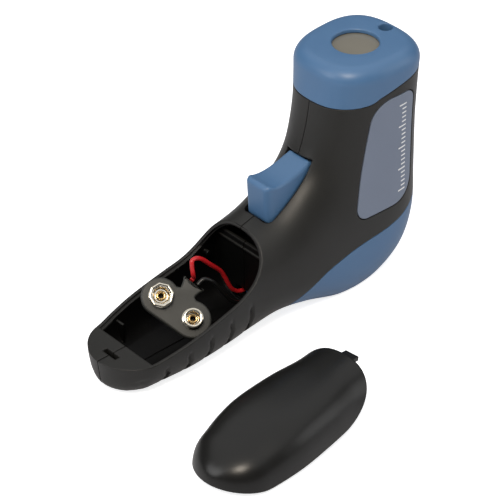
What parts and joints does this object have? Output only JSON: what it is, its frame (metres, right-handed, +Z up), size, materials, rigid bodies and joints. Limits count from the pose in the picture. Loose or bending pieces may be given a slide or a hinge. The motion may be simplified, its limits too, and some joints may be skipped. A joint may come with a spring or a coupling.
{
  "type": "handheld optical tachometer",
  "caption": "Pistol-form optical tachometer on its display side: blue nose cap and bezel on dark shells, sprung trigger, open battery bay with snap lead, battery cover beside it",
  "frame": {"origin": "on the flat of the display bezel that the instrument lies on, at the bar between display and memory button", "axes": "+Z up and out along the nose window, +X to the top of the barrel with the handle towards -X, -Y to the side with the inlaid panel"},
  "size_m": [0.1405, 0.0937, 0.087],
  "materials": {
    "housing": "fine spark-textured dark grey ABS",
    "cover": "satin black ABS",
    "blue_cap": "satin blue ABS",
    "blue_trigger": "satin blue ABS",
    "panel": "matte grey inlay",
    "window": "smoked optical plate",
    "display_glass": "clear display glass",
    "black_plastic": "moulded black plastic",
    "brass": "turned brass",
    "board": "green circuit board",
    "nickel": "nickel plated",
    "steel": "zinc plated steel",
    "ribbon": "grey flat cable",
    "rubber": "elastomer",
    "snap_vinyl": "soft moulded vinyl",
    "red_wire": "glossy wire insulation",
    "black_wire": "glossy wire insulation"
  },
  "bodies": {
    "instrument": {"housing_left": "housing", "housing_right": "housing", "battery_door": "cover", "nose_cap": "blue_cap", "display_bezel": "blue_cap", "side_panel": "panel", "nose_window": "window", "receiver_lens": "window", "display_window": "display_glass", "lcd_module": "display_glass", "lens_tube": "black_plastic", "laser_module": "brass", "sensor_board": "board", "main_board": "board", "photo_sensor": "nickel", "processor": "black_plastic", "link_ribbon": "ribbon", "zebra_strip_front": "rubber", "zebra_strip_back": "rubber", "memory_switch": "black_plastic", "trigger_pin": "steel", "trigger_spring": "steel", "trigger_switch": "black_plastic", "housing_screw_1": "steel", "housing_screw_2": "steel", "housing_screw_3": "steel", "housing_screw_4": "steel", "snap_connector": "snap_vinyl", "snap_socket": "nickel", "snap_stud": "nickel", "red_lead": "red_wire", "black_lead": "black_wire"},
    "trigger_body": {"trigger": "blue_trigger"},
    "button_body": {"memory_button": "black_plastic"}
  },
  "joints": [
    {"name": "trigger_pull", "type": "hinge", "parent": "instrument", "child": "trigger_body", "pos_m": [0.003, 0, 0.048], "axis": [0, -1, 0], "range_deg": [0, 7], "stiffness_Nm_per_rad": 0.4, "springref_deg": -6.88, "deforming": ["trigger_spring"]},
    {"name": "memory_press", "type": "slide", "parent": "instrument", "child": "button_body", "axis": [0, 0, 1], "range_m": [0, 0.0005], "stiffness_N_per_m": 800, "springref_m": -0.0004}
  ]
}
